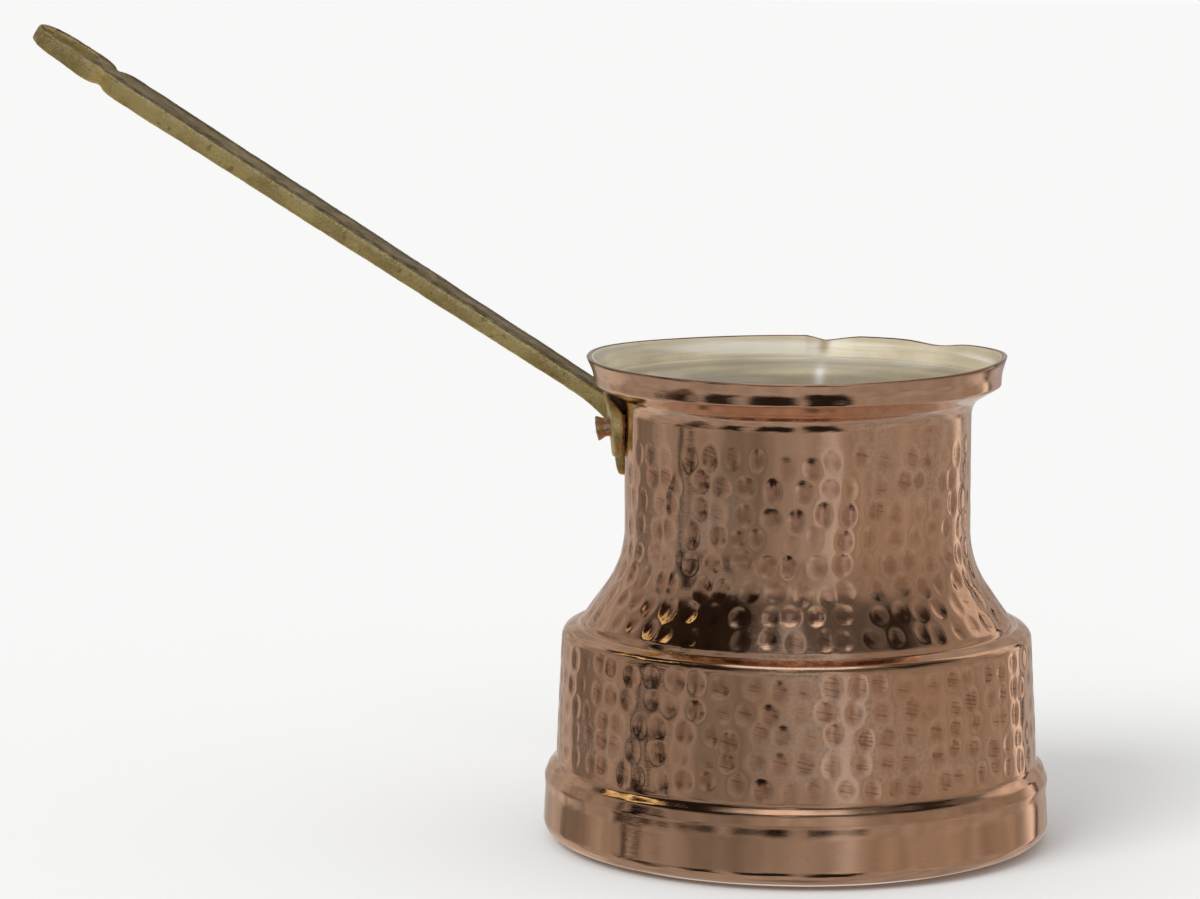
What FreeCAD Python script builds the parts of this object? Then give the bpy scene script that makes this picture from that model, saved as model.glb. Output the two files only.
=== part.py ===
import FreeCAD, Part
import math
import os
from types import SimpleNamespace

import Sketcher
from FreeCAD import Placement, Rotation, Vector

# A cezve: a hammered copper coffee pot, tinned inside, with a cast brass handle held by two rivets.
# Millimetres. The origin is the centre of the base's underside, +Z is up, the handle reaches
# towards -X and the pouring lip looks towards +Y.

# Every driving dimension. Radii are measured from the pot's axis, heights from the table.
DIMENSIONS = {
    # the sheet metal
    "copper_wall": 1.0,
    "tin_wall": 0.2,
    # base band and its bead
    "base_radius": 50.4,
    "base_corner": 5.0,
    "bead_foot_radius": 49.95,
    "bead_foot_height": 10.8,
    "bead_top_radius": 49.1,
    "bead_top_height": 14.8,
    "bead_round": 3.3,
    # lower wall, up to the ledge
    "wall_foot_radius": 47.8,
    "wall_foot_height": 18.2,
    "wall_top_radius": 46.75,
    "ledge_height": 43.3,
    "ledge_corner": 3.2,
    # bell and neck
    "bell_foot_radius": 42.45,
    "bell_foot_height": 44.5,
    "bell_waist_radius": 38.1,
    "bell_waist_height": 50.6,
    "bell_round": 20.5,
    "neck_radius": 34.3,
    "neck_foot_height": 62.5,
    "neck_top_height": 85.2,
    # flare and rim band
    "flare_round": 4.4,
    "flare_top_radius": 36.5,
    "flare_top_height": 89.05,
    "band_foot_radius": 40.2,
    "band_foot_height": 91.2,
    "band_round": 8.4,
    "rim_radius": 41.8,
    "rim_height": 96.0,
    # pouring lip, a V creased outwards in the rim band
    "lip_azimuth": 95.5,
    "lip_reach": 44.4,
    "lip_back": 36.0,
    "lip_half_width": 17.0,
    "lip_foot_half_width": 12.0,
    # handle foot, a trefoil plate curved round the neck
    "foot_inner_radius": 34.7,
    "foot_bottom_height": 71.4,
    "foot_bottom_thickness": 1.7,
    "foot_lean": 8.0,
    "foot_top_height": 88.8,
    "foot_relief_height": 85.6,
    "foot_relief": 2.2,
    "foot_sweep": 60.0,
    "lobe_offset": 8.3,
    "lobe_height": 82.5,
    "lobe_radius": 6.3,
    "lobe_meeting_height": 78.7,
    "tail_half_width": 3.3,
    "tail_side_height": 72.4,
    "tail_round": 6.0,
    # handle bar, a tapered strip that climbs away from the foot
    "bar_start_radius": 36.9,
    "bar_start_height": 85.2,
    "bar_angle": 30.6,
    "bar_length": 119.5,
    "bar_start_width": 8.2,
    "bar_start_thickness": 3.1,
    "bar_end_width": 10.8,
    "bar_end_thickness": 4.0,
    # oval hanging ring at the end of the bar and its hole: each has two round ends, whose centres
    # lie either side of its middle by its end offset
    "ring_distance": 134.75,
    "ring_end_offset": 2.95,
    "ring_radius": 6.6,
    "ring_thickness": 3.2,
    "hole_distance": 136.4,
    "hole_end_offset": 1.9,
    "hole_radius": 4.1,
    "ring_neck_half_width": 3.5,
    "shoulder_round": 9.0,
    # the two rivets
    "rivet_azimuth": 12.2,
    "rivet_seat_radius": 37.8,
    "rivet_height": 82.0,
    "rivet_radius": 1.95,
    "rivet_clearance": 0.05,
    "rivet_end_radius": 2.35,
    "rivet_end_length": 2.0,
    "rivet_grip": 5.35,
    "rivet_head_radius": 3.4,
    "rivet_head_height": 1.1,
    "rivet_crown_radius": 2.04,
    "rivet_crown_height": 0.715,
    "rivet_flare_start": 0.7,
    "rivet_hole_depth": 9.0,
    # how far cutting outlines reach past the metal they cut
    "spare": 3.0,
}


class Dim:
    """A length or angle that carries its value together with the formula it is bound to."""

    def __init__(self, value, formula):
        self.value = value
        self.formula = formula

    def __add__(self, other):
        other = as_dim(other)
        return Dim(self.value + other.value, "(%s + %s)" % (self.formula, other.formula))

    def __sub__(self, other):
        other = as_dim(other)
        return Dim(self.value - other.value, "(%s - %s)" % (self.formula, other.formula))

    def __mul__(self, other):
        other = as_dim(other)
        return Dim(self.value * other.value, "%s * %s" % (self.formula, other.formula))

    def __neg__(self):
        return Dim(-self.value, "-1 * %s" % self.formula)


def as_dim(value):
    return value if isinstance(value, Dim) else Dim(float(value), "%.4f" % value)


def sine(angle):
    return Dim(math.sin(math.radians(angle.value)), "sin(%s)" % angle.formula)


def cosine(angle):
    return Dim(math.cos(math.radians(angle.value)), "cos(%s)" % angle.formula)


def tangent(angle):
    return Dim(math.tan(math.radians(angle.value)), "tan(%s)" % angle.formula)


def other_leg(hypotenuse, leg):
    """The third side of a right-angled triangle."""
    return Dim(math.sqrt(hypotenuse.value ** 2 - leg.value ** 2),
               "sqrt(%s^2 - %s^2)" % (hypotenuse.formula, leg.formula))


doc = FreeCAD.newDocument("cezve")
sheet = doc.addObject("Spreadsheet::Sheet", "dims")
for row, (alias, number) in enumerate(DIMENSIONS.items(), start=1):
    sheet.set("A%d" % row, "%g" % number)
    sheet.setAlias("A%d" % row, alias)
doc.recompute()
size = SimpleNamespace(**{alias: Dim(float(sheet.get(alias)), "dims." + alias) for alias in DIMENSIONS})


# ---------------------------------------------------------------- sketch helpers

def new_body(label):
    body = doc.addObject("PartDesign::Body", label)
    body.Label = label
    body.Placement = Placement()
    return body


def new_sketch(body, name, plane, offset=None):
    """An empty sketch on one of the body's own origin planes, moved by offset in the plane's frame."""
    sketch = body.newObject("Sketcher::SketchObject", name)
    support = [item for item in body.Origin.OriginFeatures if item.Role == plane]
    sketch.AttachmentSupport = [(support[0], "")]
    sketch.MapMode = "FlatFace"
    if offset is not None:
        sketch.AttachmentOffset = offset
    return sketch


def bind_datum(sketch, constraint, dim):
    index = sketch.addConstraint(constraint)
    sketch.setExpression("Constraints[%d]" % index, dim.formula)


def bind_point(sketch, geometry, end, across, up):
    """Fixes one end of a curve at (across, up) from the sketch's origin."""
    bind_datum(sketch, Sketcher.Constraint("DistanceX", -1, 1, geometry, end, across.value), across)
    bind_datum(sketch, Sketcher.Constraint("DistanceY", -1, 1, geometry, end, up.value), up)


def arc_between(start, end, radius, turn):
    """The short arc from start to end; turn is +1 anticlockwise or -1 clockwise."""
    chord = end - start
    reach = math.sqrt(max(radius * radius - chord.Length ** 2 / 4, 0))
    side = Vector(-chord.y, chord.x, 0).normalize()
    centre = (start + end) / 2 + side * reach * turn
    first, last = (start, end) if turn > 0 else (end, start)
    angles = [math.atan2(point.y - centre.y, point.x - centre.x) for point in (first, last)]
    return Part.ArcOfCircle(Part.Circle(centre, Vector(0, 0, 1), radius), angles[0], angles[1])


def draw_outline(sketch, corners):
    """A closed outline. A corner is (across, up), or (across, up, radius, turn) where an arc starts."""
    corners = [tuple(as_dim(value) for value in corner[:3]) + corner[3:] for corner in corners]
    points = [Vector(corner[0].value, corner[1].value, 0) for corner in corners]
    joins = []
    for number, corner in enumerate(corners):
        start, end = points[number], points[(number + 1) % len(points)]
        if len(corner) == 2:
            index = sketch.addGeometry(Part.LineSegment(start, end))
            first, last = 1, 2
        else:
            index = sketch.addGeometry(arc_between(start, end, corner[2].value, corner[3]))
            first, last = (1, 2) if corner[3] > 0 else (2, 1)
        joins.append((index, first, last))
    for number, (index, first, last) in enumerate(joins):
        following, following_first, _ = joins[(number + 1) % len(joins)]
        sketch.addConstraint(Sketcher.Constraint("Coincident", index, last, following, following_first))
        bind_point(sketch, index, first, corners[number][0], corners[number][1])
        if len(corners[number]) == 4:
            radius = corners[number][2]
            bind_datum(sketch, Sketcher.Constraint("Radius", index, radius.value), radius)


def draw_circle(sketch, across, radius):
    circle = Part.Circle(Vector(across.value, 0, 0), Vector(0, 0, 1), radius.value)
    index = sketch.addGeometry(circle)
    bind_point(sketch, index, 3, across, as_dim(0))
    bind_datum(sketch, Sketcher.Constraint("Radius", index, radius.value), radius)


def rectangle(half_width, half_height):
    return [(-half_width, -half_height), (half_width, -half_height),
            (half_width, half_height), (-half_width, half_height)]


def add_feature(body, kind, name, profile, **settings):
    """Adds a PartDesign feature and makes sure that it really adds or removes material."""
    before = body.Shape.Volume if body.Tip else 0
    feature = body.newObject("PartDesign::" + kind, name)
    feature.Profile = profile
    for setting, value in settings.items():
        if isinstance(value, Dim):
            feature.setExpression(setting, value.formula)
        else:
            setattr(feature, setting, value)
    doc.recompute()
    removes = kind in ("Pocket", "Groove", "SubtractiveLoft")
    change = body.Shape.Volume - before
    if (change >= 0) if removes else (change <= 0):
        raise RuntimeError("%s changed nothing" % name)
    return feature


# ---------------------------------------------------------------- the vessel

# How far a corner of the profile moves along each axis, per millimetre of inset, so that the moved
# faces stay parallel to the outer ones.
BELL_FOOT_RISE = -0.33
WAIST_MITRE = (-0.82, -0.58)
FLARE_MITRE = (-0.5, 0.87)
BAND_MITRE = (-0.91, 0.63)
RIM_MITRE = -1.1
LIP_MITRE = -1.12


def vessel_profile(inset, closing_height):
    """Half section of the vessel, moved into the metal by inset and closed along the axis."""
    return [
        (0, inset),
        (size.base_radius - size.base_corner, inset, size.base_corner - inset, 1),
        (size.base_radius - inset, size.base_corner),
        (size.bead_foot_radius - inset, size.bead_foot_height, size.bead_round, 1),
        (size.bead_top_radius - inset, size.bead_top_height),
        (size.wall_foot_radius - inset, size.wall_foot_height),
        (size.wall_top_radius - inset, size.ledge_height - size.ledge_corner, size.ledge_corner - inset, 1),
        (size.wall_top_radius - size.ledge_corner, size.ledge_height - inset),
        (size.bell_foot_radius - inset, size.ledge_height - inset),
        (size.bell_foot_radius - inset, size.bell_foot_height + inset * BELL_FOOT_RISE),
        (size.bell_waist_radius + inset * WAIST_MITRE[0], size.bell_waist_height + inset * WAIST_MITRE[1],
         size.bell_round + inset, -1),
        (size.neck_radius - inset, size.neck_foot_height),
        (size.neck_radius - inset, size.neck_top_height, size.flare_round + inset, -1),
        (size.flare_top_radius + inset * FLARE_MITRE[0], size.flare_top_height + inset * FLARE_MITRE[1]),
        (size.band_foot_radius + inset * BAND_MITRE[0], size.band_foot_height + inset * BAND_MITRE[1],
         size.band_round + inset, -1),
        (size.rim_radius + inset * RIM_MITRE, size.rim_height),
        (size.rim_radius + inset * RIM_MITRE, closing_height),
        (0, closing_height),
    ]


def lip_sections(body, name, inset):
    """Two V outlines, one at the foot of the rim band and one at the rim, which the lip spans."""
    sections = []
    levels = (("foot", size.band_foot_height + inset * BAND_MITRE[1], size.band_foot_radius,
               size.lip_foot_half_width),
              ("top", size.rim_height, size.lip_reach, size.lip_half_width))
    for level, height, reach, half_width in levels:
        offset = Placement(Vector(0, 0, height.value), Rotation(Vector(0, 0, 1), size.lip_azimuth.value))
        sketch = new_sketch(body, "%s_%s" % (name, level), "XY_Plane", offset)
        sketch.setExpression("AttachmentOffset.Base.z", height.formula)
        sketch.setExpression("AttachmentOffset.Rotation.Angle", size.lip_azimuth.formula)
        back, point = size.lip_back + inset * LIP_MITRE, reach + inset * LIP_MITRE
        draw_outline(sketch, [(back, -half_width), (point, 0), (back, half_width)])
        sections.append(sketch)
    return sections


def rivet_frame(side):
    """Frame of one rivet: its origin on the foot's outer face, its +Z out along the shank."""
    azimuth = math.radians(size.rivet_azimuth.value)
    lean = math.radians(size.foot_lean.value)
    radius = size.rivet_seat_radius.value
    seat = Vector(-radius * math.cos(azimuth), side * radius * math.sin(azimuth), size.rivet_height.value)
    outward = Vector(-math.cos(azimuth) * math.cos(lean), side * math.sin(azimuth) * math.cos(lean),
                     -math.sin(lean))
    return Placement(seat, Rotation(Vector(0, 0, 1), outward))


RIVETS = (("left", 1), ("right", -1))


def drill_rivet_holes(body):
    """The two holes that the rivet shanks pass through, drilled inwards along each rivet."""
    for name, side in RIVETS:
        frame = rivet_frame(side)
        start = frame.multiply(Placement(Vector(0, 0, size.rivet_end_length.value), Rotation()))
        sketch = new_sketch(body, "%s_rivet_hole_%s" % (body.Label, name), "XY_Plane", start)
        draw_circle(sketch, as_dim(0), size.rivet_radius + size.rivet_clearance)
        add_feature(body, "Pocket", "%s_drilled_%s" % (body.Label, name), sketch,
                    Length=size.rivet_hole_depth)


def build_vessel(label, outer_inset, inner_inset):
    """A one-piece vessel of sheet metal whose two faces lie at the two insets."""
    body = new_body(label)
    outer = new_sketch(body, label + "_outer", "XZ_Plane")
    draw_outline(outer, remove_repeat(vessel_profile(outer_inset, size.rim_height)))
    add_feature(body, "Revolution", label + "_turned", outer, ReferenceAxis=(outer, ["V_Axis"]), Angle=360)
    lip = lip_sections(body, label + "_lip", outer_inset)
    add_feature(body, "AdditiveLoft", label + "_lip_out", lip[0], Sections=lip[1:])
    inner = new_sketch(body, label + "_inner", "XZ_Plane")
    draw_outline(inner, vessel_profile(inner_inset, size.rim_height + size.spare))
    add_feature(body, "Groove", label + "_hollow", inner, ReferenceAxis=(inner, ["V_Axis"]), Angle=360)
    hollow_lip = lip_sections(body, label + "_hollow_lip", inner_inset)
    add_feature(body, "SubtractiveLoft", label + "_lip_in", hollow_lip[0], Sections=hollow_lip[1:])
    drill_rivet_holes(body)
    return body


def remove_repeat(corners):
    """Drops the corner that closes the profile where it would repeat the rim's own corner."""
    return corners[:-2] + corners[-1:]


# ---------------------------------------------------------------- the handle

def bar_plane_sketch(body, name):
    """A sketch in the middle plane of the bar; its origin is the bar's start and -X runs along the bar."""
    out, height = -size.bar_start_radius, size.bar_start_height
    plane = Placement(Vector(out.value, 0, height.value), Rotation(Vector(0, 1, 0), size.bar_angle.value))
    sketch = new_sketch(body, name, "XY_Plane", plane)
    sketch.setExpression("AttachmentOffset.Base.x", out.formula)
    sketch.setExpression("AttachmentOffset.Base.z", height.formula)
    sketch.setExpression("AttachmentOffset.Rotation.Angle", size.bar_angle.formula)
    return sketch


def build_handle():
    body = new_body("handle")

    # side section of the foot, swept part of the way round the neck
    lean = tangent(size.foot_lean)
    foot_height = size.foot_top_height - size.foot_bottom_height
    bottom_outer = size.foot_inner_radius + size.foot_bottom_thickness
    section = new_sketch(body, "foot_section", "XZ_Plane")
    draw_outline(section, [
        (-size.foot_inner_radius, size.foot_bottom_height),
        (-size.foot_inner_radius, size.foot_relief_height),
        (-size.foot_inner_radius - size.foot_relief, size.foot_top_height),
        (-bottom_outer - foot_height * lean, size.foot_top_height),
        (-bottom_outer, size.foot_bottom_height),
    ])
    add_feature(body, "Revolution", "foot_plate", section, ReferenceAxis=(section, ["V_Axis"]),
                Midplane=True, Angle=size.foot_sweep)

    # everything outside the trefoil is cut away: two lobes for the rivets and a tail below
    edge = size.lobe_offset + size.lobe_radius + size.lobe_radius
    below, above = size.foot_bottom_height - size.spare, size.foot_top_height + size.spare
    trefoil = new_sketch(body, "foot_outline", "YZ_Plane")
    draw_outline(trefoil, [
        (-edge, below), (edge, below), (edge, above), (-edge, above)])
    draw_outline(trefoil, [
        (-size.lobe_offset, size.lobe_height + size.lobe_radius, size.lobe_radius, 1),
        (-size.lobe_offset - size.lobe_radius, size.lobe_height, size.lobe_radius, 1),
        (-size.lobe_offset, size.lobe_height - size.lobe_radius, size.lobe_radius, 1),
        (-size.tail_half_width, size.lobe_meeting_height),
        (-size.tail_half_width, size.tail_side_height, size.tail_round, 1),
        (size.tail_half_width, size.tail_side_height),
        (size.tail_half_width, size.lobe_meeting_height, size.lobe_radius, 1),
        (size.lobe_offset, size.lobe_height - size.lobe_radius, size.lobe_radius, 1),
        (size.lobe_offset + size.lobe_radius, size.lobe_height, size.lobe_radius, 1),
        (size.lobe_offset, size.lobe_height + size.lobe_radius),
    ])
    add_feature(body, "Pocket", "foot_trefoil", trefoil, Midplane=True, Type="ThroughAll")

    # the bar, lofted between a section inside the foot and one at the ring's shoulders
    sections = []
    ends = (("start", as_dim(0), size.bar_start_width, size.bar_start_thickness),
            ("end", size.bar_length, size.bar_end_width, size.bar_end_thickness))
    for name, distance, width, thickness in ends:
        height = size.bar_start_height + distance * sine(size.bar_angle)
        out = -size.bar_start_radius - distance * cosine(size.bar_angle)
        tilt = Rotation(Vector(1, 0, 0), size.bar_angle.value)
        offset = Placement(Vector(0, height.value, out.value), tilt)
        sketch = new_sketch(body, "bar_" + name, "YZ_Plane", offset)
        sketch.setExpression("AttachmentOffset.Base.y", height.formula)
        sketch.setExpression("AttachmentOffset.Base.z", out.formula)
        sketch.setExpression("AttachmentOffset.Rotation.Angle", size.bar_angle.formula)
        draw_outline(sketch, rectangle(width * 0.5, thickness * 0.5))
        sections.append(sketch)
    add_feature(body, "AdditiveLoft", "bar", sections[0], Sections=sections[1:])

    # shoulders, neck and hanging ring, drawn in the bar's own plane
    near_centre = -size.ring_distance + size.ring_end_offset
    far_centre = -size.ring_distance - size.ring_end_offset
    neck = near_centre + other_leg(size.ring_radius, size.ring_neck_half_width)
    half_end = size.bar_end_width * 0.5
    ring = bar_plane_sketch(body, "ring_outline")
    draw_outline(ring, [
        (-size.bar_length, half_end, size.shoulder_round, 1),
        (neck, size.ring_neck_half_width, size.ring_radius, 1),
        (near_centre, size.ring_radius),
        (far_centre, size.ring_radius, size.ring_radius, 1),
        (far_centre - size.ring_radius, 0, size.ring_radius, 1),
        (far_centre, -size.ring_radius),
        (near_centre, -size.ring_radius, size.ring_radius, 1),
        (neck, -size.ring_neck_half_width, size.shoulder_round, 1),
        (-size.bar_length, -half_end),
    ])
    add_feature(body, "Pad", "ring", ring, Midplane=True, Length=size.ring_thickness)
    hole_near = -size.hole_distance + size.hole_end_offset
    hole_far = -size.hole_distance - size.hole_end_offset
    hole = bar_plane_sketch(body, "ring_hole_outline")
    draw_outline(hole, [
        (hole_far, -size.hole_radius),
        (hole_near, -size.hole_radius, size.hole_radius, 1),
        (hole_near + size.hole_radius, 0, size.hole_radius, 1),
        (hole_near, size.hole_radius),
        (hole_far, size.hole_radius, size.hole_radius, 1),
        (hole_far - size.hole_radius, 0, size.hole_radius, 1),
    ])
    add_feature(body, "Pocket", "ring_hole", hole, Midplane=True, Length=size.ring_thickness + size.spare)

    drill_rivet_holes(body)
    return body


# ---------------------------------------------------------------- the rivets

def build_rivet(name, side):
    """A copper rivet: a low head inside the neck, its shank, and a peened end outside the foot."""
    body = new_body("rivet_" + name)
    section = new_sketch(body, "rivet_section_" + name, "XZ_Plane")
    grip = -size.rivet_grip
    draw_outline(section, [
        (0, grip - size.rivet_head_height),
        (size.rivet_crown_radius, grip - size.rivet_head_height),
        (size.rivet_head_radius, grip - size.rivet_head_height + size.rivet_crown_height),
        (size.rivet_head_radius, grip),
        (size.rivet_radius, grip),
        (size.rivet_radius, size.rivet_flare_start),
        (size.rivet_end_radius, size.rivet_end_length),
        (0, size.rivet_end_length),
    ])
    add_feature(body, "Revolution", "rivet_turned_" + name, section,
                ReferenceAxis=(section, ["V_Axis"]), Angle=360)
    body.Placement = rivet_frame(side)
    return body


# ---------------------------------------------------------------- the assembly

bodies = [
    build_vessel("pot_body", as_dim(0), size.copper_wall),
    build_vessel("tin_lining", size.copper_wall, size.copper_wall + size.tin_wall),
    build_handle(),
]
bodies += [build_rivet(name, side) for name, side in RIVETS]
doc.recompute()

for item in doc.Objects:
    if "Invalid" in item.State or "Error" in item.State:
        raise RuntimeError("%s failed: %s" % (item.Label, item.State))

os.makedirs("parts", exist_ok=True)
for body in bodies:
    shape = body.Shape
    if shape.isNull() or not shape.isValid() or len(shape.Solids) != 1:
        raise RuntimeError("%s is not one valid solid" % body.Label)
    shape.exportStep("parts/%s.step" % body.Label)
    print("%s: %.0f cubic mm" % (body.Label, shape.Volume))
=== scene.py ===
import math

import bmesh
import bpy
import numpy as np
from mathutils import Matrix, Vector, noise


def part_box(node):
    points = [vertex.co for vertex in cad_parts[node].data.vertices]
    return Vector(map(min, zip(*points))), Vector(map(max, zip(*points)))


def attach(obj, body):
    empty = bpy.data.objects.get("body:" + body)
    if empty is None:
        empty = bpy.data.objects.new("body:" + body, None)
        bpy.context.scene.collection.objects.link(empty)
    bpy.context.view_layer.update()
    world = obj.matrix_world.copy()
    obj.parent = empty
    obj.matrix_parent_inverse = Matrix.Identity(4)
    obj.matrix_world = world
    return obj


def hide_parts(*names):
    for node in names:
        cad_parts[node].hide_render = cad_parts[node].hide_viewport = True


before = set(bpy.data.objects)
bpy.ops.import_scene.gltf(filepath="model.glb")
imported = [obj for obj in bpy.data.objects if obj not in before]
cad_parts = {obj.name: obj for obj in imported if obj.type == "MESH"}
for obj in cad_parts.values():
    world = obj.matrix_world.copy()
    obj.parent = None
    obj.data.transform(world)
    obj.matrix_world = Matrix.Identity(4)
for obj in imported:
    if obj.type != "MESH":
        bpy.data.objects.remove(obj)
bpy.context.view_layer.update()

# A hammered copper cezve, tinned inside, with a cast brass handle. Shapes are worked out in
# millimetres in the frame's own axes (+Z up, handle towards -X, lip towards +Y) and written in metres.

MM = 0.001
pot_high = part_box("pot_body")[1]
RIM_HEIGHT = pot_high.z / MM

# sheet metal, and how finely it is divided: round the pot, then along the hammered outer face, the
# hidden inner face and the tin
COPPER_WALL = 1.0
TIN_WALL = 0.2
SEGMENTS = 540
HAMMERED_STEP = 0.52
PLAIN_STEP = 1.2
TIN_STEP = 0.8

# slow dents of hand-worked sheet, as (lobes round the pot, length along the section, size); they
# start at a radius on the flat bottom and reach full size over a span
DENTS = ((5, 61, 0.040), (9, 37, 0.028), (14, 23, 0.018), (23, 17, 0.012), (37, 11, 0.006))
DENTS_FROM, DENTS_SPAN = 20, 20

# Outer half section of the vessel, as (radius, height, rounding of the corner).
OUTER = [
    (0.0, 0.25, 0.0), (39.0, 0.25, 3.0), (41.0, 0.0, 3.0),
    (44.9, 0.0, 5.0), (49.1, 1.35, 3.0), (50.5, 3.1, 2.5),
    (50.05, 10.4, 12.0), (50.22, 12.6, 1.2), (49.4, 14.6, 0.8),
    (47.95, 16.1, 1.9), (46.85, 38.0, 20.0), (46.6, 42.1, 2.4),
    (43.6, 43.5, 0.7), (42.75, 42.9, 0.35), (42.45, 44.4, 1.0),
    (34.3, 55.96, 20.5), (34.3, 87.77, 4.4), (40.2, 91.2, 0.5),
    (40.55, 93.4, 8.0), (41.8, RIM_HEIGHT, 0.3),
]

# pouring lip, a V creased outwards in the rim band, and the rim's other unevenness, as waves of
# (azimuth, spread, lift, spring outwards)
LIP_AZIMUTH = 95.5
LIP_REACH = 2.5
LIP_DROP = 1.2
LIP_LEFT, LIP_RIGHT = 3.6, 7.5
LIP_PEAK, LIP_ROUND = 1.06, 0.006
BAND_FOOT = 90.6
RIM_RADIUS = 41.8
RIM_WAVES = ((180, 22, 0.55, 0), (59, 6, -0.75, 0), (10, 24, 0.8, -0.6), (-80, 30, -0.5, 0))

# the rim's sheared edge, as (outwards, up) from its outer corner, and the dark line it leaves
RIM_EDGE = ((-0.12, 0.13), (-0.45, 0.2), (-0.8, 0.12))
EDGE_BELOW, EDGE_FADE = 0.35, 0.3

# hammer marks: their size and spacing, the zones they cover as (top, bottom), and the part of the section
# that counts as wall
MARK_ACROSS = 3.9
MARK_TALL = 4.9
MARK_PITCH = 5.15
MARK_DEPTH = 0.21
MARK_BLEND = 0.018
MARK_REACH = 1.15
MARK_ZONES = ((79.6, 46.6), (38.6, 19.6))
WALL_LOW, WALL_HIGH, WALL_RADIUS = 17, 88, 30

# how far the marks stray: sideways as a share of the pitch, up or down, and in size and depth
STRAY_SIDEWAYS, STRAY_UP, STRAY_SIZE, STRAY_DEPTH = 0.13, 0.45, 0.08, 0.22

# the hollow under the rim, painted paler as a painted reflection, as (height, half height, share)
COVE_PAINTED_REFLECTION = (89.3, 1.5, 0.7)

# the tin: its gap to the copper, how uneven it is against the copper, the painted shade of the crease in
# the lip above the foot of the rim band, and the painted highlight run below it
TIN_GAP = 0.02
TIN_RIPPLE = 1.4
TIN_BAND_FOOT = 91.5
CREASE_HALF_WIDTH, CREASE_FADE = 1.1, 2
RUN_HALF_WIDTH, RUN_FADE = 1.3, 2
RUN_FOOT, RUN_FOOT_FADE = 85.5, 2.5

# cast handle. Along, across and rise are the bar's own directions: away from the pot, towards +Y,
# and off its top face. The ring and its hole are ovals: (distance along, end offset, end radius).
BAR_START = (-36.9, 0.0, 85.2)
BAR_ANGLE = 30.6
BAR_LENGTH = 119.5
BAR_WIDTHS = (8.2, 10.8)
BAR_THICKNESSES = (3.1, 4.0)
BAR_TUCK = 0.3
SHOULDER_ROUND = 9.0
RING = (134.75, 2.95, 6.6)
RING_HOLE = (136.3, 2.0, 4.4)
RING_NECK = 3.5
RING_THICKNESS = 4.3
RING_TWIST = 4.0
RING_RISE = 0.1
RING_BLEND_FROM, RING_BLEND_SPAN = 4, 7
TWIST_LEAD, TWIST_SPAN = 1.5, 3.5
RING_TAPER, TAPER_FROM, TAPER_SPAN = 0.4, 129, 14
NOTCH = RING[0] - RING[1] - math.sqrt(RING[2] ** 2 - RING_NECK ** 2)
NOTCH_DEPTH, NOTCH_HALF_WIDTH = 0.4, 1.3
ROOT_SWELL, ROOT_REACH = 1.3, 9
BAR_EDGE = 0.45
FOOT_INNER = 34.75
FOOT_LEAN = 8.0
FOOT_BOTTOM = 71.4
FOOT_BOTTOM_THICKNESS = 1.7
FOOT_RELIEF, FOOT_FLARE = 85.6, 0.75
FOOT_PLATE = 4.0
FOOT_EDGE = 0.55
LOBE_OFFSET, LOBE_HEIGHT, LOBE_RADIUS = 8.3, 82.5, 6.3
LOBE_FROM, LOBE_SPAN, LOBE_THINNING = 3.5, 7, 0.28
TAIL_HALF_WIDTH = 3.3
FOOT_VOXEL, BAR_VOXEL, CAST_VOXEL = 0.45, 0.3, 0.28

# unevenness as sums of noises, each (frequency, size): the sand-cast skin's height, the ragged outline
# of the tarnish, and the fine flecks
CAST_SKIN = ((0.16, 0.10), (0.5, 0.05), (1.7, 0.035))
RAGGED = ((0.5, 1.0), (2.1, 0.6))
FLECKS = ((2.6, 1.0),)

# where the brass is tarnished or worn: faces turned up off the bar, the ring's end, a soot line in from
# each side, worn corners with painted highlights, and painted glint flecks a little below the top face
TOP_FACING, TOP_FADE, TOP_RAGGED = 0.62, 0.16, 0.22
END_FROM, END_SPAN = 146, 14
SOOT_INSET, SOOT_HALF_WIDTH, SOOT_RAGGED = 1.7, 0.9, 1.5
CORNER_FACING, CORNER_SPREAD = 0.5, 0.25
FLECK_INSET, FLECK_HALF_WIDTH = 0.5, 0.75

# rivets: the shank with its peened end, and the low head inside, as (radius, height, rounding)
RIVET_AZIMUTH = 12.2
RIVET_SEAT = 37.8
RIVET_HEIGHT = 82.0
RIVET_RADIUS = 1.9
RIVET_SHANK = [
    (0, -4.2, 0), (RIVET_RADIUS, -4.2, 0), (RIVET_RADIUS, 0.5, 2.0), (2.3, 1.45, 0.5),
    (2.42, 1.75, 0.15), (2.3, 2.05, 0.15), (1.3, 2.2, 1.5), (0, 2.2, 0),
]
RIVET_HEAD = [(0, -0.6, 0), (3.3, -0.6, 0), (3.45, 0.15, 0.25), (2.7, 0.85, 1.2), (0, 1.1, 0)]
RIVET_SEGMENTS = 48
RIVET_STEP = 0.22
RIVET_DENTS = 0.06
HEAD_LIFT = 0.3
LINING_RADIUS = 33.1

rng = np.random.default_rng(7)


# ---------------------------------------------------------------- camera

CAMERA_AZIMUTH = 13.0
CAMERA_DISTANCE = 0.8174
CAMERA_HEIGHT = 0.1881
CAMERA_TURN = 15.744
CAMERA_PITCH = -7.695
CAMERA_LENS = 124.7
CAMERA_SENSOR = 36.0
CAMERA_REACH = 50.0


def camera_directions():
    """Level directions from the pot: towards the camera, and to the picture's right."""
    azimuth = math.radians(CAMERA_AZIMUTH)
    return (math.sin(azimuth), -math.cos(azimuth), 0), (math.cos(azimuth), math.sin(azimuth), 0)


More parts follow.
